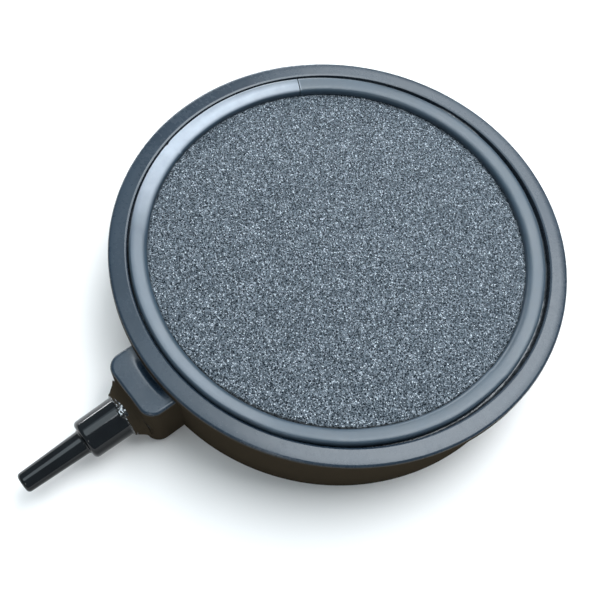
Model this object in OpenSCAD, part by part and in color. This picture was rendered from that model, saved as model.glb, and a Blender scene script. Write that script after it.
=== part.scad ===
// Disc air stone for aquariums and ponds. A bonded mineral disc is held by a rubber edge strip
// in a moulded tray, and air comes in through a stepped spigot cemented into the tray's side boss.
// Millimetres. The origin is the centre of the underside, +Z points out of the stone,
// and the spigot points along -Y.

/* [Tray] */

// Diameter of the tray over its rim
rim_d = 107; // [95:0.5:125]
// Height from the underside to the top of the rim
tray_h = 22; // [20:0.5:30]
// Width of the flat rim, seen from above
rim_w = 4.2; // [3.6:0.1:5]
// Thickness of the rim flange
rim_t = 2.5; // [1.8:0.1:3.5]
// How far the rim stands out past the wall under it
rim_overhang = 0.9; // [0.5:0.1:2]
// How much smaller the wall's radius is at the underside than under the rim
wall_draft = 0.4; // [0:0.1:1]
// Thickness of the chamber floor
floor_t = 2.4; // [1.6:0.1:3.5]
// Rounding of the rim's two upper edges
rim_round = 0.5; // [0.2:0.1:0.9]

/* [Stone] */

// Diameter of the bonded stone
stone_d = 92; // [80:0.5:92]
// Thickness of the bonded stone
stone_t = 7.2; // [5:0.1:8]
// Depth of the stone's face below the top of the rim
stone_drop = 1.1; // [0.6:0.1:2]
// How far off centre the stone sits in the tray
seat_shift = 0.6; // [0:0.05:0.6]
// Direction of that shift, anticlockwise from +X
seat_turn = 267; // [0:1:359]

/* [Edge strip] */

// Thickness of the strip's web, round the stone's edge
web_t = 2; // [1.5:0.1:2.2]
// How far each lip reaches in over the stone
lip_w = 1.7; // [1.2:0.1:2.5]
// Height of the rounded bead above the stone
bead_h = 2.1; // [1.6:0.1:3]
// Height of the bead's crown above its shoulders
bead_crown = 0.7; // [0.5:0.1:1.2]
// Thickness of the lip under the stone
foot_t = 1.6; // [1:0.1:2]
// Width of the butt joint between the strip's ends
joint_gap = 0.2; // [0.1:0.05:0.5]
// Where the butt joint is, anticlockwise from +X
joint_turn = 153; // [0:1:359]

/* [Boss and spigot] */

// Width of the side boss
boss_w = 16.6; // [15.6:0.1:22]
// Distance from the disc centre to the boss's front face
boss_reach = 59.7; // [58.5:0.1:61]
// Radius of the boss's upright corners
boss_corner = 3.3; // [1.5:0.1:5]
// Height of the boss's underside above the tray's
boss_lift = 0.8; // [0.2:0.1:1]
// Distance from the disc centre to the end of the flared socket on the boss
flare_reach = 62.2; // [61.6:0.1:64]
// Diameter of the flared socket where it leaves the boss
flare_root_d = 15; // [12:0.1:15]
// Diameter of the flared socket at its mouth
flare_tip_d = 11; // [10.6:0.1:11.8]
// Height of the spigot's axis above the underside
spigot_z = 8.3; // [7:0.1:9]
// Distance from the disc centre to the spigot's tip
tip_reach = 86.9; // [80:0.1:110]
// Distance from the disc centre to the spigot's shoulder
shoulder_reach = 71.9; // [68:0.1:76]
// Spigot diameter at the tip
tip_d = 4.65; // [4:0.05:5]
// Spigot diameter at the shoulder
spigot_root_d = 5.55; // [5.1:0.05:6]
// Collar diameter at the shoulder
collar_tip_d = 9.2; // [8.2:0.1:9.4]
// Collar diameter at the boss
collar_root_d = 9.6; // [9.4:0.1:10]
// Diameter of the air hole through the spigot
air_hole_d = 2.4; // [1.8:0.1:2.8]

/* [Hidden] */

$fn = 96;
eps = 0.01;

// Radii and heights that follow from the sizes above
rim_r = rim_d / 2;
well_r = rim_r - rim_w;
wall_r = rim_r - rim_overhang;
base_r = wall_r - wall_draft;
flange_z = tray_h - rim_t;
stone_r = stone_d / 2;
stone_top = tray_h - stone_drop;
stone_z = stone_top - stone_t;
strip_r = stone_r + web_t;
lip_r = stone_r - lip_w;
ledge_z = stone_z - foot_t;
bead_top = stone_top + bead_h;
seat_x = seat_shift * cos(seat_turn);
seat_y = seat_shift * sin(seat_turn);

// Tray inside: the ledge under the strip, the air chamber and the post under the stone
chamber_r = 43.6;
post_r = 5;
post_foot_r = 6.4;
stiff_n = 8;
stiff_t = 1.4;
stiff_h = 3;
stiff_inner = 6;
stiff_outer = chamber_r + 0.4;

// Tray underside: a cored ring with ribs, and a shallow relief inside it
skin_t = 2.2;
core_outer = base_r - skin_t;
core_inner = chamber_r + skin_t;
core_h = ledge_z - skin_t;
core_rib_n = 24;
core_rib_t = 1.3;
duct_w = 13;
relief_outer = 41;
relief_inner = 11;
relief_h = 0.6;
foot_round = 0.5;

// Boss and nozzle
boss_half = boss_w / 2;
boss_depth = boss_reach - well_r;
socket_mouth_r = collar_root_d / 2;
mouth_y = boss_reach - 0.8;
plug_r = 3.5;
plug_end = 53;
duct_r = 1.6;
tip_round = 0.8;
collar_round = 1;
root_fillet = 0.5;
cement_w = 0.8;
cement_l = 1.1;

// Strip adhesive
glue_h = 4;

// The bead's crown is part of one circle, found from its width and its rise
bead_w = web_t + lip_w;
crown_r = (bead_w * bead_w / 4 + bead_crown * bead_crown) / (2 * bead_crown);

// Profile of the rim flange, rounded along both upper edges
module rim_profile() {
    translate([well_r, flange_z]) square([rim_w, rim_t - rim_round]);
    translate([well_r + rim_round, flange_z]) square([rim_w - 2 * rim_round, rim_t]);
    translate([well_r + rim_round, tray_h - rim_round]) circle(r = rim_round);
    translate([rim_r - rim_round, tray_h - rim_round]) circle(r = rim_round);
}

// Profile of the wall, ledge and floor together, before the underside is cored
module pan_profile() {
    polygon([
        [0, 0],
        [base_r - foot_round, 0],
        [base_r, foot_round],
        [wall_r, flange_z],
        [wall_r, flange_z + rim_t / 2],
        [well_r, flange_z + rim_t / 2],
        [well_r, ledge_z],
        [chamber_r, ledge_z],
        [chamber_r, floor_t],
        [0, floor_t]
    ]);
}

// Ribs that cross the cored ring under the ledge
module core_ribs() {
    for (i = [0 : core_rib_n - 1]) {
        rotate([0, 0, (i + 0.5) * 360 / core_rib_n])
            translate([core_inner - 1, -core_rib_t / 2, -1])
            cube([core_outer - core_inner + 2, core_rib_t, core_h + 2]);
    }
    translate([-duct_w / 2, -core_outer - 1, -1]) cube([duct_w, core_outer - core_inner + 6, core_h + 2]);
}

// The ring that is cored out of the underside, less its ribs
module core_ring() {
    difference() {
        translate([0, 0, -1]) cylinder(r = core_outer, h = core_h + 1);
        translate([0, 0, -2]) cylinder(r = core_inner, h = core_h + 4);
        core_ribs();
    }
}

// The shallow ring relief that leaves a foot ring and a flat pad in the middle
module underside_relief() {
    difference() {
        translate([0, 0, -1]) cylinder(r = relief_outer, h = relief_h + 1);
        translate([0, 0, -2]) cylinder(r = relief_inner, h = relief_h + 4);
    }
}

// Plan of the boss measured inwards from its front, with rounded outer corners
module boss_plan() {
    translate([-boss_half, boss_corner]) square([boss_w, boss_depth - boss_corner]);
    translate([-boss_half + boss_corner, 0]) square([boss_w - 2 * boss_corner, boss_depth]);
    translate([-boss_half + boss_corner, boss_corner]) circle(r = boss_corner);
    translate([boss_half - boss_corner, boss_corner]) circle(r = boss_corner);
}

// The boss: an upright block, and the flared socket that the nozzle's collar goes into
module boss_block() {
    translate([0, -boss_reach, boss_lift]) linear_extrude(height = flange_z - boss_lift) boss_plan();
    intersection() {
        translate([0, -boss_reach + 1, spigot_z])
            rotate([90, 0, 0])
            rotate_extrude()
            polygon([
                [0, 0],
                [flare_root_d / 2, 0],
                [flare_root_d / 2, 1],
                [flare_tip_d / 2, flare_reach - boss_reach + 1],
                [0, flare_reach - boss_reach + 1]
            ]);
        translate([-boss_w, -2 * boss_reach, boss_lift]) cube([2 * boss_w, 2 * boss_reach, tray_h]);
    }
}

// Stiffeners on the chamber floor, and the post under the middle of the stone
module floor_stiffeners() {
    for (i = [0 : stiff_n - 1]) {
        rotate([0, 0, (i + 0.5) * 360 / stiff_n])
            translate([stiff_inner - 2, -stiff_t / 2, floor_t - eps])
            cube([stiff_outer - stiff_inner + 2, stiff_t, stiff_h + eps]);
    }
    translate([0, 0, floor_t - eps]) cylinder(r1 = post_foot_r, r2 = post_r, h = stone_z - floor_t + eps);
}

// One-piece moulded tray with its side boss
module tray() {
    color([0.16, 0.19, 0.22])
    difference() {
        union() {
            rotate_extrude() union() {
                pan_profile();
                rim_profile();
            }
            difference() {
                boss_block();
                cylinder(r = well_r + 1, h = 3 * tray_h, center = true);
            }
            floor_stiffeners();
        }
        core_ring();
        underside_relief();
        translate([0, -mouth_y, spigot_z]) rotate([90, 0, 0]) cylinder(r = socket_mouth_r, h = 10);
        translate([0, -plug_end, spigot_z]) rotate([90, 0, 0]) cylinder(r = plug_r, h = 10);
        translate([0, -chamber_r + 2, spigot_z]) rotate([90, 0, 0]) cylinder(r = duct_r, h = plug_end - chamber_r);
    }
}

// Bonded mineral disc
module stone_disc() {
    color([0.42, 0.46, 0.50])
    translate([seat_x, seat_y, stone_z]) cylinder(r = stone_r, h = stone_t);
}

// Cross-section of the channel strip: web, foot and rounded bead
module strip_profile() {
    translate([stone_r, ledge_z]) square([web_t, bead_top - bead_crown - ledge_z]);
    translate([lip_r, ledge_z]) square([bead_w, foot_t]);
    translate([lip_r, stone_top]) square([bead_w, bead_h - bead_crown]);
    intersection() {
        translate([(lip_r + strip_r) / 2, bead_top - crown_r]) circle(r = crown_r);
        translate([lip_r, bead_top - bead_crown - eps]) square([bead_w, bead_crown + 2 * eps]);
    }
}

// Rubber channel strip round the stone's edge, cut to length and butted
module edge_strip() {
    color([0.30, 0.34, 0.38])
    translate([seat_x, seat_y, 0])
    difference() {
        rotate_extrude() strip_profile();
        rotate([0, 0, joint_turn])
            translate([lip_r - 1, -joint_gap / 2, ledge_z - 1])
            cube([bead_w + 2, joint_gap, bead_top - ledge_z + 2]);
    }
}

// Adhesive low in the gap between the strip and the tray wall
module strip_adhesive() {
    color([0.10, 0.11, 0.12])
    difference() {
        translate([0, 0, ledge_z]) cylinder(r = well_r, h = glue_h);
        translate([seat_x, seat_y, ledge_z - 1]) cylinder(r = strip_r, h = glue_h + 2);
    }
}

// Half section of the nozzle, from the plug at the left to the tip at the right
module nozzle_profile() {
    difference() {
        union() {
            polygon([
                [0, plug_end],
                [plug_r - 0.4, plug_end],
                [plug_r, plug_end + 0.8],
                [plug_r, mouth_y],
                [socket_mouth_r, mouth_y],
                [socket_mouth_r, flare_reach],
                [collar_tip_d / 2, shoulder_reach - collar_round],
                [collar_tip_d / 2 - collar_round, shoulder_reach],
                [spigot_root_d / 2 + root_fillet, shoulder_reach],
                [spigot_root_d / 2, shoulder_reach + root_fillet],
                [tip_d / 2, tip_reach - tip_round],
                [tip_d / 2 - tip_round, tip_reach - tip_round],
                [0, tip_reach - tip_round]
            ]);
            translate([tip_d / 2 - tip_round, tip_reach - tip_round]) circle(r = tip_round);
            translate([0, tip_reach - tip_round - eps]) square([tip_d / 2 - tip_round, tip_round + eps]);
            translate([collar_tip_d / 2 - collar_round, shoulder_reach - collar_round]) circle(r = collar_round);
        }
        translate([-1, plug_end - 1]) square([1 + air_hole_d / 2, tip_reach - plug_end + 2]);
    }
}

// Stepped air inlet with a through hole
module inlet_nozzle() {
    color([0.09, 0.11, 0.13])
    translate([0, 0, spigot_z]) rotate([90, 0, 0]) rotate_extrude() nozzle_profile();
}

// Bead of clear cement round the nozzle at the mouth of the socket
module nozzle_cement() {
    color([0.55, 0.60, 0.65])
    translate([0, -flare_reach, spigot_z])
        rotate([90, 0, 0])
        rotate_extrude()
        polygon([
            [socket_mouth_r, 0],
            [socket_mouth_r + cement_w, 0],
            [socket_mouth_r + 0.9 * cement_w, 0.3 * cement_l],
            [socket_mouth_r + 0.1, cement_l],
            [socket_mouth_r, cement_l]
        ]);
}

tray();
stone_disc();
edge_strip();
strip_adhesive();
inlet_nozzle();
nozzle_cement();
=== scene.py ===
"""Looks of the disc air stone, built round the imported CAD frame.

Lengths are in millimetres until a mesh is made, and in metres in materials, lights and the camera.
"""

import math

import bmesh
import bpy
import numpy as np
from mathutils import Matrix, Vector


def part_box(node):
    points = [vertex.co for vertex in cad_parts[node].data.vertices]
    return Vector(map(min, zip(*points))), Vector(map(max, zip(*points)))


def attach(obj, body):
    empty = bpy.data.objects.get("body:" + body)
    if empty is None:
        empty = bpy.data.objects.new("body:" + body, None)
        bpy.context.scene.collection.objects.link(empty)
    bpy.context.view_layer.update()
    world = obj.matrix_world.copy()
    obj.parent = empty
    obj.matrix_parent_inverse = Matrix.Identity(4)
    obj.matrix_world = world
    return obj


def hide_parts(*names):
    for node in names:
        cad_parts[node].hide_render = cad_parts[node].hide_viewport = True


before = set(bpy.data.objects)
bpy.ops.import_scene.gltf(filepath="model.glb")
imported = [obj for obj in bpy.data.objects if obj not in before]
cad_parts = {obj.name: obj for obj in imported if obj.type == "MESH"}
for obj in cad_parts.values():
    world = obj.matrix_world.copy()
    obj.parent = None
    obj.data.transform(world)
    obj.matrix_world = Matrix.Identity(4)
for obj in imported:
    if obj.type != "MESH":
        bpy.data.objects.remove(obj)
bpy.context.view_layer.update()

MM = 0.001
TAU = 2 * math.pi


# ---------------------------------------------------------------- sizes

def box_mm(node):
    """A CAD piece's lowest and highest corner, in millimetres."""
    low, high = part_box(node)
    return np.array(low) / MM, np.array(high) / MM


TRAY_HIGH = box_mm("tray")[1]
STONE_LOW, STONE_HIGH = box_mm("stone_disc")
STRIP_LOW, STRIP_HIGH = box_mm("edge_strip")
NOZZLE_LOW, NOZZLE_HIGH = box_mm("inlet_nozzle")
GLUE_LOW, GLUE_HIGH = box_mm("strip_adhesive")

# The tray's sizes that no piece's box gives
RIM_WIDTH = 4.2
RIM_THICKNESS = 2.5
RIM_OVERHANG = 0.9
WALL_DRAFT = 0.4
CHAMBER_R = 43.6
FLOOR_Z = 2.4
POST_R = 5
POST_FOOT_R = 6.4
STIFFENERS = 8
STIFFENER_HEIGHT = 3
CORE_RIBS = 24
CORE_RIB_WIDTH = 1.3
CORE_WALL = 2.2
PAD_R = 11
RELIEF_R = 41
RELIEF_DEPTH = 0.6

RIM_R = TRAY_HIGH[0]
RIM_Z = TRAY_HIGH[2]
FLANGE_Z = RIM_Z - RIM_THICKNESS
WALL_R = RIM_R - RIM_OVERHANG
BASE_R = WALL_R - WALL_DRAFT
WELL_R = RIM_R - RIM_WIDTH
LEDGE_Z = GLUE_LOW[2]

SEAT = (STONE_LOW[:2] + STONE_HIGH[:2]) / 2
STONE_R = (STONE_HIGH[1] - STONE_LOW[1]) / 2
STONE_Z = STONE_LOW[2]
STONE_TOP = STONE_HIGH[2]
STRIP_R = (STRIP_HIGH[1] - STRIP_LOW[1]) / 2
LIP_WIDTH = 1.7
LIP_R = STONE_R - LIP_WIDTH
BEAD_TOP = STRIP_HIGH[2]

# The boss and its flared socket; each reach is a distance from the disc's axis along -Y
BOSS_HALF = 8.3
BOSS_REACH = 59.7
BOSS_CORNER = 3.3
BOSS_LIFT = 0.8
BOSS_BACK = 50.4
FLARE_REACH = 62.2
FLARE_ROOT_R = 7.5
FLARE_TIP_R = 5.5

# The nozzle, with its plug, collar and spigot
AXIS_Z = (NOZZLE_LOW[2] + NOZZLE_HIGH[2]) / 2
COLLAR_R = (NOZZLE_HIGH[2] - NOZZLE_LOW[2]) / 2
TIP = -NOZZLE_LOW[1]
PLUG_END = -NOZZLE_HIGH[1]
SHOULDER = 71.9
SHOULDER_R = 2.78
TIP_R = 2.33
AIR_HOLE_R = 1.2
PLUG_R = 3.48
PASSAGE_R = 1.6
MOUTH = BOSS_REACH - 0.8


# ---------------------------------------------------------------- mesh tools

def wave(angle, seed, terms=6, lowest=1):
    """A smooth closed random curve between about -1 and 1, the same for the same seed."""
    rng = np.random.default_rng(seed)
    total = np.zeros_like(angle)
    for k in range(lowest, lowest + terms):
        total += rng.normal() * np.cos(k * angle + rng.uniform(0, TAU)) / math.sqrt(k)
    return total / (np.abs(total).max() + 1e-9)


def away(angle, centre):
    """Degrees from a bearing to each angle in radians, between -180 and 180."""
    return (np.degrees(angle) - centre + 180) % 360 - 180


def hump(angle, centre, width):
    """1 at one bearing in degrees, falling smoothly to 0."""
    return np.exp(-((away(angle, centre) / width) ** 2))


def rounded(corners):
    """A closed outline through (x, y, radius) corners, with each corner rounded."""
    out = []
    n = len(corners)
    for i in range(n):
        here = np.array(corners[i][:2], float)
        to_last = np.array(corners[i - 1][:2], float) - here
        to_next = np.array(corners[(i + 1) % n][:2], float) - here
        radius = corners[i][2]
        if radius <= 0:
            out.append(here)
            continue
        a = to_last / np.linalg.norm(to_last)
        b = to_next / np.linalg.norm(to_next)
        half = math.acos(np.clip(a @ b, -1, 1)) / 2
        reach = radius / math.tan(half)
        centre = here + (a + b) / np.linalg.norm(a + b) * radius / math.sin(half)
        start = here + a * reach - centre
        stop = here + b * reach - centre
        turn = math.atan2(start[0] * stop[1] - start[1] * stop[0], start @ stop)
        steps = max(3, int(abs(turn) / math.radians(13)))
        for t in np.linspace(0, turn, steps + 1):
            c, s = math.cos(t), math.sin(t)
            out.append(centre + (c * start[0] - s * start[1], s * start[0] + c * start[1]))
    return np.array(out)


def grid_faces(rows, columns, wrap_rows, wrap_columns):
    """Quads between neighbouring points of a grid stored row by row."""
    i = np.arange(rows if wrap_rows else rows - 1)
    j = np.arange(columns if wrap_columns else columns - 1)
    i, j = (x.ravel() for x in np.meshgrid(i, j, indexing="ij"))
    i2, j2 = (i + 1) % rows, (j + 1) % columns
    return np.stack([i * columns + j, i * columns + j2, i2 * columns + j2, i2 * columns + j], axis=1).tolist()


def piece(name, points, faces, angle=32):
    """A new mesh object from points in millimetres, with its normals outwards and its sharp edges kept."""
    mesh = bpy.data.meshes.new(name)
    mesh.from_pydata((np.asarray(points, float).reshape(-1, 3) * MM).tolist(), [], faces)
    obj = bpy.data.objects.new(name, mesh)
    bpy.context.scene.collection.objects.link(obj)
    clean(obj, angle)
    return obj


def clean(obj, angle=32):
    """Merges doubled points, turns the normals outwards and marks the sharp edges."""
    bm = bmesh.new()
    bm.from_mesh(obj.data)
    bmesh.ops.remove_doubles(bm, verts=bm.verts, dist=1e-6)
    bmesh.ops.dissolve_degenerate(bm, edges=bm.edges, dist=1e-7)
    bmesh.ops.recalc_face_normals(bm, faces=bm.faces)
    bm.to_mesh(obj.data)
    bm.free()
    obj.data.shade_smooth()
    obj.data.set_sharp_from_angle(angle=math.radians(angle))
    obj.data.update()


def evened(obj):
    """Keeps flat and cylindrical walls true where they meet small fillets."""
    weighted = obj.modifiers.new("even", "WEIGHTED_NORMAL")
    weighted.keep_sharp = True
    baked(obj)
    return obj


def turned(outline, steps):
    """Points and faces of a closed (radius, height) outline turned round Z."""
    a = np.arange(steps) * TAU / steps
    r, z = outline[:, 0][:, None], outline[:, 1][:, None]
    points = np.stack([r * np.cos(a), r * np.sin(a), z + 0 * a], axis=-1)
    return points, grid_faces(len(outline), steps, True, True)


def along_nozzle(points):
    """Turns points made round Z so that Z becomes the distance out along the nozzle."""
    p = np.asarray(points, float)
    return np.stack([p[..., 0], -p[..., 2], p[..., 1] + AXIS_Z], axis=-1)


def boolean(target, cutter, operation):
    """Joins a second object to the first, or cuts it out, and removes it."""
    mod = target.modifiers.new("join", "BOOLEAN")
    mod.operation = operation
    mod.solver = "EXACT"
    mod.object = cutter
    baked(target)
    bpy.data.objects.remove(cutter)


def baked(obj):
    """Applies an object's modifiers."""
    depsgraph = bpy.context.evaluated_depsgraph_get()
    mesh = bpy.data.meshes.new_from_object(obj.evaluated_get(depsgraph), depsgraph=depsgraph)
    obj.modifiers.clear()
    obj.data = mesh


# ---------------------------------------------------------------- tray

def tray_body():
    """The turned part of the tray: underside, wall, rim, well, ledge, chamber and post."""
    outline = rounded([
        (0, 0, 0),
        (PAD_R, 0, 0.2),
        (PAD_R + 0.4, RELIEF_DEPTH, 0.2),
        (RELIEF_R - 0.4, RELIEF_DEPTH, 0.2),
        (RELIEF_R, 0, 0.2),
        (BASE_R, 0, 0.5),
        (WALL_R, FLANGE_Z, 0.25),
        (RIM_R, FLANGE_Z, 0.18),
        (RIM_R - 0.06, RIM_Z - 0.13, 0.75),
        (RIM_R - 1.6, RIM_Z, 10),
        (WELL_R + 0.4, RIM_Z, 0.2),
        (WELL_R - 0.05, RIM_Z - 0.18, 0.1),
        (WELL_R, LEDGE_Z, 0.3),
        (CHAMBER_R, LEDGE_Z, 0.25),
        (CHAMBER_R, FLOOR_Z, 0.5),
        (POST_FOOT_R, FLOOR_Z, 0.4),
        (POST_R, STONE_Z, 0.25),
        (0, STONE_Z, 0),
    ])
    return piece("tray_shell", *turned(outline, 288))


def pocket(start, stop):
    """One curved pocket of the cored ring under the ledge, between two ribs."""
    a = np.linspace(start, stop, 9)
    inner, outer = CHAMBER_R + CORE_WALL, BASE_R - CORE_WALL
    top = LEDGE_Z - CORE_WALL
    rings = []
    for r, z in ((inner, -1), (outer, -1), (outer - 0.15, top), (inner + 0.15, top)):
        rings.append(np.stack([r * np.cos(a), r * np.sin(a), z + 0 * a], axis=-1))
    points = np.array(rings)
    faces = grid_faces(4, len(a), True, False)
    n = len(a)
    faces += [[k * n for k in (3, 2, 1, 0)], [k * n + n - 1 for k in (0, 1, 2, 3)]]
    return points, faces


def tray_pockets():
    """All the pockets but the one at the boss, where the air passage runs."""
    points, faces = [], []
    gap = CORE_RIB_WIDTH / 2 / 48
    for i in range(CORE_RIBS):
        start, stop = (i + 0.5) * TAU / CORE_RIBS, (i + 1.5) * TAU / CORE_RIBS
        if abs((start + stop) / 2 - 0.75 * TAU) < 0.01:
            continue
        p, f = pocket(start + gap, stop - gap)
        faces += [[k + sum(len(q) for q in points) for k in face] for face in f]
        points.append(p.reshape(-1, 3))
    return piece("pockets", np.concatenate(points), faces)


def boss_outline(inset):
    """Outline of the boss, drawn in by inset everywhere but at the back."""
    front, half, radius, back = -BOSS_REACH + inset, BOSS_HALF - inset, BOSS_CORNER - 0.6 * inset, -BOSS_BACK
    side = np.linspace(back, front + radius, 9)
    turn = np.linspace(math.pi, 1.5 * math.pi, 11)
    across, along = radius * np.cos(turn), radius * np.sin(turn)
    middle = np.linspace(-half + radius, half - radius, 13)[1:-1]
    rear = np.linspace(half, -half, 17)[1:-1]
    runs = [
        (np.full(8, -half), side[:-1]),
        (-half + radius + across, front + radius + along),
        (middle, np.full(11, front)),
        (half - radius - across[::-1], front + radius + along[::-1]),
        (np.full(8, half), side[::-1][1:]),
        (rear, np.full(15, back)),
    ]
    return np.concatenate([np.stack(run, axis=1) for run in runs])


def boss_dip(x, y):
    """Depth of the scoop in the boss's top, close to the rim."""
    return np.exp(-(((y + RIM_R - 0.1) / 0.95) ** 2)) * np.exp(-(((x - 0.4) / 4.4) ** 2))


def boss():
    """The side boss, with rounded edges, and a scoop and a faint sink mark in its top."""
    top_round, foot_round, sink = 0.75, 0.9, 0.14
    levels = []
    for t in np.radians([90, 70, 50, 30, 15, 0]):
        levels.append((BOSS_LIFT + foot_round * (1 - math.sin(t)), foot_round * (1 - math.cos(t))))
    levels += [(z, 0.0) for z in np.linspace(3, FLANGE_Z - 2, 7)]
    for t in np.radians([0, 15, 30, 45, 60, 75, 90]):
        levels.append((FLANGE_Z - top_round + top_round * math.sin(t), top_round * (1 - math.cos(t))))
    rings = []
    for z, inset in levels:
        flat = boss_outline(inset)
        rings.append(np.column_stack([flat, np.full(len(flat), z)]))
    n = len(rings[0])
    rim = rings[-1]
    middle = np.array([0, (rim[:, 1].min() + rim[:, 1].max()) / 2, FLANGE_Z])
    for s in np.linspace(0.97, 0.03, 32):
        ring = middle + (rim - middle) * s
        ring[:, 2] -= sink * (1 - s * s) ** 2 + boss_dip(ring[:, 0], ring[:, 1])
        rings.append(ring)
    points = list(np.concatenate(rings))
    faces = grid_faces(len(rings), n, False, True)
    last = (len(rings) - 1) * n
    points.append(middle - (0, 0, sink + boss_dip(0, middle[1])))
    faces += [[last + k, last + (k + 1) % n, len(points) - 1] for k in range(n)]
    faces.append(list(range(n))[::-1])
    return piece("boss", points, faces)


def flare():
    """The flared socket on the boss that holds the nozzle's collar."""
    outline = rounded([
        (0, BOSS_REACH - 3, 0),
        (FLARE_ROOT_R - 0.3, BOSS_REACH - 3, 0),
        (FLARE_ROOT_R - 0.3, BOSS_REACH - 0.25, 0),
        (FLARE_ROOT_R, BOSS_REACH - 0.02, 0),
        (FLARE_ROOT_R - 0.75, BOSS_REACH + 0.55, 1.2),
        (FLARE_TIP_R + 0.1, FLARE_REACH - 0.5, 1.5),
        (FLARE_TIP_R - 0.1, FLARE_REACH, 0.25),
        (0, FLARE_REACH, 0),
    ])
    points, faces = turned(outline, 128)
    points = along_nozzle(points)
    points[..., 2] = np.maximum(points[..., 2], BOSS_LIFT + 0.05)
    return piece("flare", points, faces)


def socket():
    """What is cut out of the boss: the air passage, the plug's hole and the collar's recess."""
    hole, recess, start, stop = PLUG_R + 0.04, COLLAR_R + 0.02, 40.5, 66
    outline = np.array([
        (0, start), (PASSAGE_R, start), (PASSAGE_R, PLUG_END), (hole, PLUG_END),
        (hole, MOUTH), (recess, MOUTH), (recess, stop), (0, stop),
    ])
    points, faces = turned(outline, 96)
    return piece("socket", along_nozzle(points), faces)


def stiffeners():
    """Low stiffeners on the chamber floor."""
    points, faces = [], []
    low, high = FLOOR_Z - 0.5, FLOOR_Z + STIFFENER_HEIGHT
    outline = rounded([(-0.75, low, 0), (0.75, low, 0), (0.65, high, 0.3), (-0.65, high, 0.3)])
    for i in range(STIFFENERS):
        a = (i + 0.5) * TAU / STIFFENERS
        c, s = math.cos(a), math.sin(a)
        base = len(points)
        for r in (4.4, CHAMBER_R + 0.4):
            points += [(r * c - w * s, r * s + w * c, z) for w, z in outline]
        n = len(outline)
        faces += [[base + k, base + (k + 1) % n, base + n + (k + 1) % n, base + n + k] for k in range(n)]
        faces += [[base + k for k in range(n)][::-1], [base + n + k for k in range(n)]]
    return piece("stiffeners", points, faces)


def tray():
    """The one-piece moulding."""
    shell = tray_body()
    boolean(shell, boss(), "UNION")
    boolean(shell, flare(), "UNION")
    boolean(shell, stiffeners(), "UNION")
    boolean(shell, tray_pockets(), "DIFFERENCE")
    boolean(shell, socket(), "DIFFERENCE")
    shell.name = "tray_moulding"
    clean(shell, 30)
    return evened(shell)


# ---------------------------------------------------------------- stone

def grains(x, y, pitch, seed):
    """Distances to the nearest and next grain centre, and the nearest grain's random number."""
    side = int(2 * 50 / pitch) + 8
    rng = np.random.default_rng(seed)
    jitter = rng.uniform(-0.42, 0.42, (side, side, 2))
    chance = rng.uniform(0, 1, (side, side))
    u, v = x / pitch + side / 2, y / pitch + side / 2
    i, j = np.floor(u).astype(int), np.floor(v).astype(int)
    best = np.full((2,) + x.shape, 1e9)
    which = np.zeros_like(x)
    for di in (-1, 0, 1):
        for dj in (-1, 0, 1):
            ci, cj = i + di, j + dj
            dx = ci + 0.5 + jitter[ci, cj, 0] - u
            dy = cj + 0.5 + jitter[ci, cj, 1] - v
            d = np.hypot(dx, dy)
            closer = d < best[0]
            best[1] = np.where(closer, best[0], np.minimum(best[1], d))
            which = np.where(closer, chance[ci, cj], which)
            best[0] = np.where(closer, d, best[0])
    return best[0], best[1], which


def stone_height(x, y):
    """Height of the granular face over its mean level: grains, a few larger clumps, and a worn edge."""
    d1, d2, chance = grains(x, y, 0.52, 11)
    crevice = np.clip((d2 - d1) / 0.35, 0, 1)
    height = 0.10 * (chance - 0.5) + 0.10 * (crevice - 0.6) - 0.05 * d1
    e1, e2, other = grains(x + 3.1, y - 1.7, 1.15, 12)
    height += 0.05 * (other - 0.5) - 0.10 * np.clip(1 - (e2 - e1) / 0.16, 0, 1) * (other > 0.72)
    edge = np.clip((np.hypot(x, y) - (LIP_R - 1.1)) / 1.2, 0, 1)
    return height - 0.10 * edge


def stone_disc():
    """The bonded disc: a granular face on a jittered triangular grid, with plain sides and back."""
    step = 0.281
    rows = int(STONE_R / (step * math.sqrt(0.75)))
    columns = int(STONE_R / step) + 1
    j, i = np.meshgrid(np.arange(-rows, rows + 1), np.arange(-columns, columns + 1), indexing="ij")
    x = (i + 0.5 * (j % 2)) * step
    y = j * step * math.sqrt(0.75)
    rng = np.random.default_rng(5)
    x, y = (v + rng.uniform(-0.07, 0.07, v.shape) for v in (x, y))
    inside = np.hypot(x, y) < STONE_R - 0.12
    n = x.shape[1]
    k = (np.arange(x.shape[0] - 1)[:, None] * n + np.arange(n - 1)[None, :]).ravel()
    even = np.repeat(j[:-1, 0] % 2 == 0, n - 1)
    first = np.stack([k, k + 1, np.where(even, k + n, k + n + 1)], axis=1)
    second = np.stack([np.where(even, k + 1, k), k + n + 1, k + n], axis=1)
    triangles = np.concatenate([first, second])
    triangles = triangles[inside.ravel()[triangles].all(axis=1)]
    used, new = np.unique(triangles, return_inverse=True)
    triangles = new.reshape(-1, 3)
    x, y = x.ravel()[used], y.ravel()[used]
    points = np.column_stack([x + SEAT[0], y + SEAT[1], STONE_TOP + stone_height(x, y)])
    obj = piece("bonded_stone", points, triangles.tolist(), 75)
    bm = bmesh.new()
    bm.from_mesh(obj.data)
    edge = [e for e in bm.edges if e.is_boundary]
    grown = bmesh.ops.extrude_edge_only(bm, edges=edge)["geom"]
    for v in grown:
        if isinstance(v, bmesh.types.BMVert):
            v.co.z = (STONE_Z + 0.02) * MM
    bmesh.ops.contextual_create(bm, geom=[e for e in grown if isinstance(e, bmesh.types.BMEdge)])
    bm.to_mesh(obj.data)
    bm.free()
    clean(obj, 75)
    return obj


# ---------------------------------------------------------------- edge strip

# The butt joint: its bearing and its width
JOINT = 153.0
JOINT_GAP = 0.22


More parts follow.
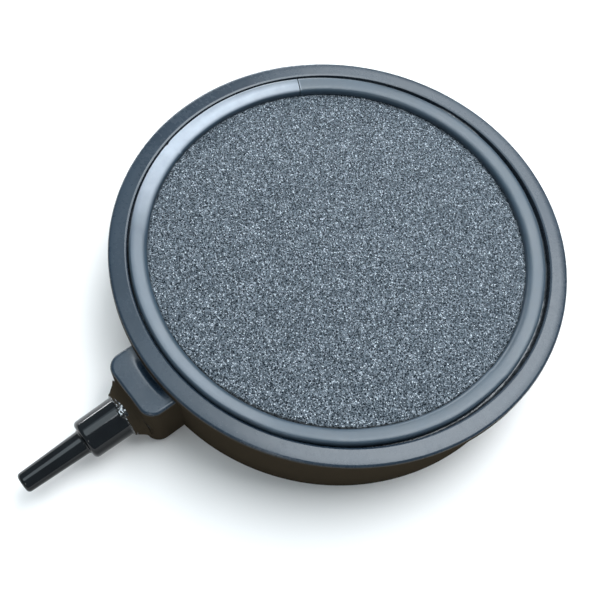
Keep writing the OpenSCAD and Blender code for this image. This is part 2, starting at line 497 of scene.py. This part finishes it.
def strip_section():
    """Cross-section of the channel strip as (offset from the web's outer face, height), anticlockwise."""
    width = STRIP_R - LIP_R
    crest = -1.75
    outer_x, inner_x, outer_z, inner_z = 0.2, -width - 0.35, BEAD_TOP - 0.9, BEAD_TOP - 1.5
    foot = LEDGE_Z + 0.02
    t = np.linspace(0, math.pi / 2, 14)

    def shoulder(x, z, power):
        across = crest + (x - crest) * np.cos(t) ** (2 / power)
        return np.stack([across, z + (BEAD_TOP - z) * np.sin(t) ** (2 / power)], axis=1)

    outer = shoulder(outer_x, outer_z, 3.2)
    inner = shoulder(inner_x, inner_z, 2.9)
    start = rounded([
        (0.05, foot, 0.3),
        (0.05, 20.4, 0.5),
        (outer_x, 21.2, 0.5),
        (outer_x, outer_z, 0),
        (-3, outer_z, 0),
        (-3, foot, 0),
    ])[:-3]
    stop = rounded([
        (-3, inner_z, 0),
        (inner_x, inner_z, 0),
        (inner_x, STONE_TOP + 0.06, 0.2),
        (-1.97, STONE_TOP + 0.06, 0.1),
        (-1.97, STONE_Z - 0.03, 0.1),
        (-width, STONE_Z - 0.03, 0.3),
        (-width, foot, 0.4),
        (-3, foot, 0),
    ])[2:-1]
    return np.concatenate([start, outer[1:], inner[::-1][1:], stop])


def edge_strip():
    """The strip, swept once round from its joint, with the lean, waves and nicks that hand laying leaves."""
    steps = 900
    gap = math.degrees(JOINT_GAP / 2 / STRIP_R)
    angle = np.radians(JOINT + gap + np.arange(steps + 1) * (360 - 2 * gap) / steps)
    section = strip_section()
    n = len(section)
    far_side = np.exp(-((away(angle, 86) / 65) ** 4))
    roll = np.radians(1.2 * wave(angle, 3) - 11 + 9.5 * far_side + 7 * hump(angle, 140, 24))
    out = 0.08 * wave(angle, 4) + 0.04 * wave(angle, 5, 20, 8)
    lift = 0.05 * wave(angle, 6) + 0.02 * wave(angle, 7, 24, 10)
    out += 0.16 / (1 + np.exp(-away(angle, 7.2) * 6)) * hump(angle, 25, 60)
    out -= 0.22 * hump(angle, 200.6, 0.5)
    out += 0.36 * hump(angle, 305, 42)
    drawn_back = 0.75 * hump(angle, 306, 52)
    px, pz = -1.95, BEAD_TOP - 0.8
    rings = []
    for k, a in enumerate(angle):
        x, z = section[:, 0].copy(), section[:, 1].copy()
        x += drawn_back[k] * np.clip((-1.9 - x) / 2.1, 0, 1) * (z > STONE_Z)
        top = np.clip((z - STONE_TOP + 1.0) / 1.6, 0, 1)
        c, s = math.cos(roll[k]), math.sin(roll[k])
        rx = px + c * (x - px) + s * (z - pz)
        rz = pz - s * (x - px) + c * (z - pz)
        x += (rx - x) * top
        z += (rz - z) * top
        r = STRIP_R + x + out[k] * top
        z = z + lift[k] * top
        rings.append(np.stack([r * math.cos(a), r * math.sin(a), z], axis=1))
    points = np.array(rings) + (SEAT[0], SEAT[1], 0)
    faces = grid_faces(steps + 1, n, False, True)
    faces += [list(range(n))[::-1], [steps * n + k for k in range(n)]]
    return evened(piece("rubber_strip", points, faces, 50))


# ---------------------------------------------------------------- glue

# Bearing, width in degrees and height of each place where the adhesive climbs the groove
GLUE_BLOBS = (
    (-103.3, 1.1, 2.2),
    (-98.5, 0.8, 1.9),
    (-100.6, 2.4, 1.2),
    (101, 15, 1.1),
    (220, 34, 0.9),
    (303, 4, 0.8),
)


def glue_bead():
    """Uneven adhesive low in the groove, with a few blobs that climb it."""
    steps = 720
    angle = np.arange(steps) * TAU / steps
    level = GLUE_HIGH[2] + 3.7 + 0.35 * wave(angle, 21, 10) + 0.15 * wave(angle, 22, 40, 12)
    for centre, width, height in GLUE_BLOBS:
        level = level + height * hump(angle, centre, width)
    level = np.minimum(level, RIM_Z - 0.35)
    outer, dip = WELL_R - 0.02, 0.25
    rings = []
    for k, a in enumerate(angle):
        c, s = math.cos(a), math.sin(a)
        reach = SEAT[0] * c + SEAT[1] * s
        inner = reach + math.sqrt(max(STRIP_R**2 - (SEAT @ SEAT) + reach**2, 0)) + 0.03
        top = level[k]
        section = [(inner, LEDGE_Z + 0.3), (outer, LEDGE_Z + 0.3), (outer, top)]
        for t in (0.15, 0.35, 0.5, 0.65, 0.85):
            section.append((outer + (inner - outer) * t, top - dip * math.sin(math.pi * t) ** 0.7))
        section += [(inner, top + 0.1)]
        rings.append([(r * c, r * s, z) for r, z in section])
    points = np.array(rings)
    faces = grid_faces(steps, points.shape[1], True, True)
    return piece("groove_adhesive", points, faces, 60)


# ---------------------------------------------------------------- nozzle

def nozzle():
    """The stepped nozzle: plug, collar and tapered spigot, with a hole through them."""
    outline = rounded([
        (AIR_HOLE_R, PLUG_END, 0.2),
        (PLUG_R, PLUG_END, 0.4),
        (PLUG_R, MOUTH + 0.03, 0),
        (COLLAR_R - 0.02, MOUTH + 0.03, 0.15),
        (COLLAR_R - 0.02, FLARE_REACH, 2),
        (4.6, SHOULDER, 1.0),
        (SHOULDER_R, SHOULDER, 0.6),
        (TIP_R, TIP, 0.8),
        (AIR_HOLE_R, TIP, 0.3),
    ])
    points, faces = turned(outline, 128)
    return evened(piece("stepped_nozzle", along_nozzle(points), faces, 40))


def cement():
    """The uneven bead of cement squeezed out where the nozzle's collar enters the socket."""
    steps = 240
    angle = np.arange(steps) * TAU / steps
    width = FLARE_TIP_R - COLLAR_R + 0.02 + 0.10 * wave(angle, 31, 9, 2)
    length = 0.45 + 0.15 * wave(angle, 33, 6, 2)
    length += 0.55 * hump(angle, 74, 18) * (1 + 0.25 * wave(angle, 34, 12, 5))
    back = 0.5 + 0.2 * wave(angle, 36, 6, 2) + 1.7 * hump(angle, 76, 20)
    swell = 0.06 + 0.03 * wave(angle, 35, 9, 3)
    swell += 0.38 * hump(angle, 76, 16) * (1 + 0.3 * wave(angle, 37, 14, 6))
    rings = []
    for k in range(steps):
        a = angle[k]
        section = [(COLLAR_R - 0.15, FLARE_REACH - 0.3), (COLLAR_R + 0.1, FLARE_REACH - back[k] - 0.2)]
        start = np.array([COLLAR_R + width[k] + 0.22 * back[k], FLARE_REACH - back[k]])
        stop = np.array([COLLAR_R - 0.12, FLARE_REACH + length[k]])
        for t in np.linspace(0, 1, 11):
            at = start + (stop - start) * t
            bulge = math.sin(math.pi * t) ** 0.8 * (swell[k] + 0.02 * math.sin(9 * t + 7 * a))
            section.append((at[0] + bulge, at[1] + 0.4 * bulge))
        rings.append([(r * math.cos(a), r * math.sin(a), d) for r, d in section])
    points = along_nozzle(np.array(rings))
    faces = grid_faces(steps, points.shape[1], True, True)
    return piece("root_cement", points, faces, 70)


# ---------------------------------------------------------------- materials

class Recipe:
    """A small helper for building one node material."""

    def __init__(self, name):
        self.material = bpy.data.materials.new(name)
        self.material.use_nodes = True
        self.tree = self.material.node_tree
        self.shader = self.tree.nodes["Principled BSDF"]
        self.place = self.node("ShaderNodeTexCoord").outputs["Object"]

    def node(self, kind, **settings):
        made = self.tree.nodes.new(kind)
        for key, value in settings.items():
            setattr(made, key, value)
        return made

    def put(self, socket, value):
        if isinstance(value, bpy.types.NodeSocket):
            self.tree.links.new(value, socket)
        else:
            socket.default_value = value

    def upward(self):
        """How much the face looks up: 1 for level tops, 0 for upright walls."""
        split = self.node("ShaderNodeSeparateXYZ")
        self.put(split.inputs["Vector"], self.node("ShaderNodeTexCoord").outputs["Normal"])
        return split.outputs["Z"]

    def off_axis(self):
        """Distance from the disc's axis, in metres."""
        made = self.node("ShaderNodeVectorMath", operation="LENGTH")
        self.put(made.inputs[0], self.stretched(1, 1, 0))
        return made.outputs["Value"]

    def split(self):
        """X, Y and Z of the place on the object."""
        made = self.node("ShaderNodeSeparateXYZ")
        self.put(made.inputs["Vector"], self.place)
        return made.outputs

    def noise(self, scale, detail=2.0, roughness=0.5, place=None):
        made = self.node("ShaderNodeTexNoise")
        self.put(made.inputs["Vector"], place or self.place)
        self.put(made.inputs["Scale"], scale)
        self.put(made.inputs["Detail"], detail)
        self.put(made.inputs["Roughness"], roughness)
        return made.outputs["Fac"]

    def cells(self, scale, feature="F1"):
        made = self.node("ShaderNodeTexVoronoi", feature=feature)
        self.put(made.inputs["Vector"], self.place)
        self.put(made.inputs["Scale"], scale)
        return made

    def stretched(self, x, y, z):
        made = self.node("ShaderNodeMapping")
        self.put(made.inputs["Vector"], self.place)
        self.put(made.inputs["Scale"], (x, y, z))
        return made.outputs["Vector"]

    def math(self, operation, a, b):
        made = self.node("ShaderNodeMath", operation=operation)
        self.put(made.inputs[0], a)
        self.put(made.inputs[1], b)
        return made.outputs[0]

    def remap(self, value, low, high, to_low=0.0, to_high=1.0):
        made = self.node("ShaderNodeMapRange")
        given = {"Value": value, "From Min": low, "From Max": high, "To Min": to_low, "To Max": to_high}
        for key, number in given.items():
            self.put(made.inputs[key], number)
        return made.outputs["Result"]

    def ramp(self, value, stops):
        made = self.node("ShaderNodeValToRGB")
        self.put(made.inputs["Fac"], value)
        elements = made.color_ramp.elements
        while len(elements) < len(stops):
            elements.new(0.5)
        for element, (at, colour) in zip(elements, stops):
            element.position = at
            element.color = (*colour, 1)
        return made.outputs["Color"]

    def mix(self, amount, a, b):
        made = self.node("ShaderNodeMix", data_type="RGBA")
        self.put(made.inputs["Factor"], amount)
        self.put(made.inputs["A"], a if isinstance(a, bpy.types.NodeSocket) else (*a, 1))
        self.put(made.inputs["B"], b if isinstance(b, bpy.types.NodeSocket) else (*b, 1))
        return made.outputs["Result"]

    def bump(self, height, strength, distance, under=None):
        made = self.node("ShaderNodeBump")
        self.put(made.inputs["Height"], height)
        self.put(made.inputs["Strength"], strength)
        self.put(made.inputs["Distance"], distance)
        if under is not None:
            self.put(made.inputs["Normal"], under)
        return made.outputs["Normal"]

    def finish(self, colour, roughness, normal=None, specular=0.5):
        self.put(self.shader.inputs["Base Color"], colour)
        self.put(self.shader.inputs["Roughness"], roughness)
        self.put(self.shader.inputs["IOR"], 1.5)
        self.put(self.shader.inputs["Specular IOR Level"], specular)
        if normal is not None:
            self.put(self.shader.inputs["Normal"], normal)
        return self.material


def moulded_slate():
    """Satin dark slate plastic with faint mottling and rub marks; the outer walls and the flare are duller
    and painted a warm brown, a painted reflection set by which way each face points.
    """
    m = Recipe("moulded_slate")
    mottle = m.noise(70, 3, 0.55)
    fine = m.noise(900, 2, 0.6)
    # Painted reflection: faces that do not look up, and the flare in front of the boss, get a warm brown
    # instead of slate; the well's walls stay slate.
    behind_flare = m.math("GREATER_THAN", m.split()["Y"], -BOSS_REACH * MM)
    top = m.math("MULTIPLY", m.remap(m.upward(), 0.25, 0.8), behind_flare)
    top = m.math("MAXIMUM", top, m.math("LESS_THAN", m.off_axis(), (WELL_R + 0.8) * MM))
    colour = m.mix(m.remap(mottle, 0.3, 0.7), (0.012, 0.0215, 0.034), (0.016, 0.029, 0.045))
    colour = m.mix(top, (0.040, 0.031, 0.021), colour)
    rubs = m.noise(900, 1, 0.5, m.stretched(0.12, 1.0, 0.5))
    rough = m.math("ADD", m.remap(mottle, 0.3, 0.7, 0.24, 0.31), m.remap(rubs, 0.62, 0.75, 0, 0.025))
    rough = m.math("ADD", rough, m.remap(fine, 0.35, 0.65, -0.02, 0.02))
    normal = m.bump(fine, 0.10, 0.00006)
    normal = m.bump(m.noise(160, 2), 0.12, 0.0003, normal)
    return m.finish(colour, rough, normal, m.remap(top, 0, 1, 0.0, 0.5))


def polished_black():
    """Glossy black plastic with faint turning marks."""
    m = Recipe("polished_black")
    fine = m.noise(1300, 2, 0.6)
    colour = m.mix(m.remap(m.noise(220, 2), 0.3, 0.7), (0.002, 0.002, 0.003), (0.004, 0.005, 0.006))
    rough = m.remap(m.noise(500, 3), 0.3, 0.7, 0.07, 0.11)
    rings = m.noise(60, 2, 0.5, m.stretched(0.2, 12, 0.2))
    normal = m.bump(rings, 0.10, 0.0001, m.bump(fine, 0.05, 0.00004))
    return m.finish(colour, rough, normal, m.remap(m.upward(), 0.35, 0.65, 0.12, 0.45))


def extruded_rubber():
    """Smooth dark rubber, with a painted highlight: a pale stretch on the strip's top that starts at the
    joint, and a fainter one along the crest further round.
    """
    m = Recipe("extruded_rubber")
    mottle = m.noise(110, 3, 0.6)
    fine = m.noise(1500, 2, 0.6)
    place = m.split()

    def toward(bearing):
        """Cosine of the angle between a bearing in degrees and the place on the strip."""
        a = math.radians(bearing)
        x = m.math("MULTIPLY", place["X"], math.cos(a) / (STRIP_R * MM))
        return m.math("ADD", x, m.math("MULTIPLY", place["Y"], math.sin(a) / (STRIP_R * MM)))

    def patch(bearing, fade, full, amount=1.0):
        """The amount within some degrees of a bearing, fading to nothing further off."""
        far, near = math.cos(math.radians(fade)), math.cos(math.radians(full))
        return m.remap(toward(bearing), far, near, 0.0, amount)

    # Painted highlight: the strip's top is painted pale for a stretch past the joint, less so on its outer
    # part, and a faint pale line is painted along the crest further round.
    past_joint = toward(JOINT + 90)
    outer = m.remap(m.off_axis(), 46.0 * MM, 47.4 * MM)
    outer = m.math("MULTIPLY", outer, m.remap(past_joint, 0.3, 0.75, 0.75, 0.0))
    painted_highlight = m.math("MULTIPLY", patch(186, 50, 14), m.math("SUBTRACT", 1.0, outer))
    painted_highlight = m.math("MULTIPLY", painted_highlight, m.remap(past_joint, 0.0, 0.01))
    painted_highlight = m.math("MULTIPLY", painted_highlight, m.remap(m.upward(), 0.55, 0.9))
    painted_crest_highlight = m.math("MULTIPLY", patch(258, 50, 22, 0.2), m.remap(m.upward(), 0.93, 0.99))
    painted_highlight = m.math("MAXIMUM", painted_highlight, painted_crest_highlight)
    painted_highlight = m.math("MULTIPLY", painted_highlight, m.remap(m.noise(260, 4, 0.65), 0.25, 0.75, 0.75, 1.0))
    colour = m.mix(m.remap(mottle, 0.3, 0.7), (0.019, 0.034, 0.050), (0.027, 0.048, 0.070))
    colour = m.mix(painted_highlight, colour, (0.40, 0.43, 0.485))
    rough = m.math("ADD", m.remap(mottle, 0.3, 0.7, 0.36, 0.44), m.remap(fine, 0.3, 0.7, -0.02, 0.03))
    rough = m.math("ADD", rough, m.math("MULTIPLY", painted_highlight, 0.08))
    normal = m.bump(fine, 0.12, 0.00006)
    normal = m.bump(m.noise(260, 2), 0.15, 0.0002, normal)
    return m.finish(colour, rough, normal, 0.65)


def bonded_mineral():
    """Packed grains about 0.3 mm across: each its own grey, with painted shade in the pores and the crevices
    between grains, and a dark, ragged rim of painted shade where the strip's lip overhangs the stone.
    """
    m = Recipe("bonded_mineral")
    grain = m.cells(3300)
    tone = m.node("ShaderNodeSeparateColor")
    m.put(tone.inputs["Color"], grain.outputs["Color"])
    chance, other = tone.outputs["Red"], tone.outputs["Green"]
    greys = ((0.0, 0.02), (0.12, 0.055), (0.35, 0.11), (0.65, 0.165), (0.88, 0.27), (1.0, 0.47))
    stops = []
    for at, grey in greys:
        tint = (0.74 + 0.18 * at, 0.97 + 0.02 * at, 1.20 - 0.13 * at)
        stops.append((at, tuple(1.5 * grey * t for t in tint)))
    colour = m.ramp(chance, stops)
    # Painted shade: the crevices between grains and the pores are painted dark.
    gap = m.cells(3300, "DISTANCE_TO_EDGE")
    body = m.remap(gap.outputs["Distance"], 0.02, 0.2)
    colour = m.mix(body, (0.015, 0.023, 0.031), colour)
    pits = m.cells(1900)
    pit = m.remap(pits.outputs["Distance"], 0.23, 0.44)
    colour = m.mix(pit, (0.006, 0.009, 0.013), colour)
    # Painted shade: a dark, ragged ring at the lip's edge, where the strip overhangs the stone.
    reach = m.node("ShaderNodeVectorMath", operation="DISTANCE")
    m.put(reach.inputs[0], m.stretched(1, 1, 0))
    m.put(reach.inputs[1], (SEAT[0] * MM, SEAT[1] * MM, 0.0))
    jitter = m.remap(m.noise(1400, 2), 0.3, 0.7, -0.25 * MM, 0.25 * MM)
    ragged = m.math("ADD", reach.outputs["Value"], jitter)
    edge = m.remap(ragged, (LIP_R - 0.25) * MM, (LIP_R + 0.1) * MM)
    colour = m.mix(edge, colour, (0.004, 0.006, 0.008))
    rough = m.remap(other, 0.0, 1.0, 0.75, 0.42)
    height = m.math("ADD", m.math("MULTIPLY", body, 0.5), m.math("MULTIPLY", chance, 0.4))
    height = m.math("ADD", height, m.math("MULTIPLY", pit, 0.8))
    return m.finish(colour, rough, m.bump(height, 0.8, 0.00013), m.remap(pit, 0, 1, 0.02, 0.35))


def pooled_glue():
    """Dark adhesive, glossy where it pooled."""
    m = Recipe("pooled_glue")
    mottle = m.noise(600, 3)
    colour = m.mix(m.remap(mottle, 0.3, 0.7), (0.020, 0.024, 0.028), (0.055, 0.062, 0.070))
    normal = m.bump(m.noise(900, 2), 0.5, 0.0003)
    return m.finish(colour, m.remap(mottle, 0.3, 0.7, 0.08, 0.2), normal)


def clear_cement():
    """Glossy, lumpy cement, clear, with painted glints: small pale spots painted on its upper side."""
    m = Recipe("clear_cement")
    mottle = m.noise(700, 3)
    colour = m.mix(m.remap(mottle, 0.55, 0.75), (0.006, 0.007, 0.007), (0.035, 0.038, 0.042))
    # Painted glints: small pale spots on the faces that look up.
    painted_glint = m.math("MULTIPLY", m.remap(m.noise(1700, 2), 0.57, 0.62), m.remap(m.upward(), 0.45, 0.6))
    colour = m.mix(painted_glint, colour, (0.75, 0.78, 0.80))
    normal = m.bump(m.noise(1300, 2), 1.0, 0.0006)
    return m.finish(colour, m.remap(mottle, 0.3, 0.7, 0.04, 0.08), normal)


def pale_floor():
    """Plain off-white floor."""
    m = Recipe("pale_floor")
    colour = m.mix(m.remap(m.noise(3, 2), 0.3, 0.7), (0.92, 0.875, 0.845), (0.94, 0.895, 0.865))
    return m.finish(colour, 0.85, specular=0.2)


# ---------------------------------------------------------------- stage

# The camera and the soft boxes are placed from the middle of the rim, by a bearing in degrees
# anticlockwise from +X and a height in degrees above the rim's plane.
PIVOT = Vector((0, 0, RIM_Z * MM))
BEARING, HEIGHT, ROLL = -49.0, 63.6, 10.9
DISTANCE, SIDE, RISE = 0.180, -0.00982, -0.01411
LENS = 46.5
PANEL_BEARING, PANEL_HEIGHT = 41, 0.45


def direction(bearing, height):
    b, h = math.radians(bearing), math.radians(height)
    return Vector((math.cos(b) * math.cos(h), math.sin(b) * math.cos(h), math.sin(h)))


def camera():
    back = direction(BEARING, HEIGHT)
    right = Vector((0, 0, 1)).cross(back).normalized()
    up = back.cross(right)
    roll = math.radians(ROLL)
    right, up = right * math.cos(roll) + up * math.sin(roll), up * math.cos(roll) - right * math.sin(roll)
    place = PIVOT + back * DISTANCE + right * SIDE + up * RISE
    data = bpy.data.cameras.new("camera")
    data.lens = LENS
    data.sensor_width = 36
    data.clip_start = 0.01
    data.clip_end = 20
    obj = bpy.data.objects.new("camera", data)
    obj.matrix_world = Matrix.Translation(place) @ Matrix((right, up, back)).transposed().to_4x4()
    bpy.context.scene.collection.objects.link(obj)
    bpy.context.scene.camera = obj


def area_light(name, size, radiance, colour, matrix):
    width, depth = size
    data = bpy.data.lights.new(name, "AREA")
    data.shape = "RECTANGLE"
    data.size, data.size_y = size
    data.energy = radiance * math.pi * width * depth
    data.color = colour
    obj = bpy.data.objects.new(name, data)
    obj.matrix_world = matrix
    bpy.context.scene.collection.objects.link(obj)


def softbox(name, bearing, height, distance, size, radiance, colour):
    """A light that faces the middle of the rim."""
    aim = direction(bearing, height)
    turn = aim.to_track_quat("Z", "Y").to_matrix().to_4x4()
    area_light(name, size, radiance, colour, Matrix.Translation(PIVOT + aim * distance) @ turn)


def panel(name, x, y, radiance, colour):
    """A level light above the disc, facing down; x and y are its extents, turned by the panels' bearing."""
    place = Matrix.Translation(((x[0] + x[1]) / 2, (y[0] + y[1]) / 2, RIM_Z * MM + PANEL_HEIGHT))
    turn = Matrix.Rotation(math.radians(PANEL_BEARING), 4, "Z")
    area_light(name, (x[1] - x[0], y[1] - y[0]), radiance, colour, turn @ place)


def lights():
    softbox("window", 152, 18, 0.90, (0.48, 0.30), 10, (0.90, 0.96, 1.0))
    softbox("low_window", 181, 2, 0.50, (0.12, 0.022), 34, (0.95, 0.98, 1.0))
    softbox("lamp", -58, 37, 0.60, (0.035, 0.035), 90, (1.0, 1.0, 1.0))
    panel("overhead", (-0.028, 0.30), (-0.06, 0.33), 8.0, (0.88, 0.95, 1.0))
    panel("overhead_far", (-0.07, 0.27), (0.34, 0.62), 5.4, (0.88, 0.95, 1.0))
    panel("overhead_left", (-0.26, -0.035), (-0.12, 0.13), 2.3, (0.80, 0.93, 1.0))
    panel("overhead_far_left", (-0.32, -0.035), (0.13, 0.34), 0.9, (0.72, 0.89, 1.0))
    world = bpy.data.worlds.new("studio")
    world.use_nodes = True
    background = world.node_tree.nodes["Background"]
    background.inputs["Color"].default_value = (0.72, 0.89, 1.0, 1)
    background.inputs["Strength"].default_value = 0.35
    bpy.context.scene.world = world


def floor():
    """A level floor just under the disc."""
    x, y = np.meshgrid(np.linspace(-2500, 2500, 41), np.linspace(-2500, 2500, 41))
    points = np.stack([x, y, 0 * x - 0.02], axis=-1)
    obj = piece("floor", points, grid_faces(41, 41, False, False))
    for polygon in obj.data.polygons:
        if polygon.normal.z < 0:
            obj.data.flip_normals()
            break
    return obj


# ---------------------------------------------------------------- build

def dress(obj, material, node):
    """Gives a piece its material and puts it in the place of its CAD node."""
    obj.data.materials.clear()
    obj.data.materials.append(material)
    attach(obj, "root")
    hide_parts(node)


camera()
lights()
floor().data.materials.append(pale_floor())
dress(tray(), moulded_slate(), "tray")
dress(stone_disc(), bonded_mineral(), "stone_disc")
dress(edge_strip(), extruded_rubber(), "edge_strip")
dress(glue_bead(), pooled_glue(), "strip_adhesive")
dress(nozzle(), polished_black(), "inlet_nozzle")
dress(cement(), clear_cement(), "nozzle_cement")

view = bpy.context.scene.view_settings
view.view_transform = "Standard"
view.look = "None"

bpy.context.view_layer.update()
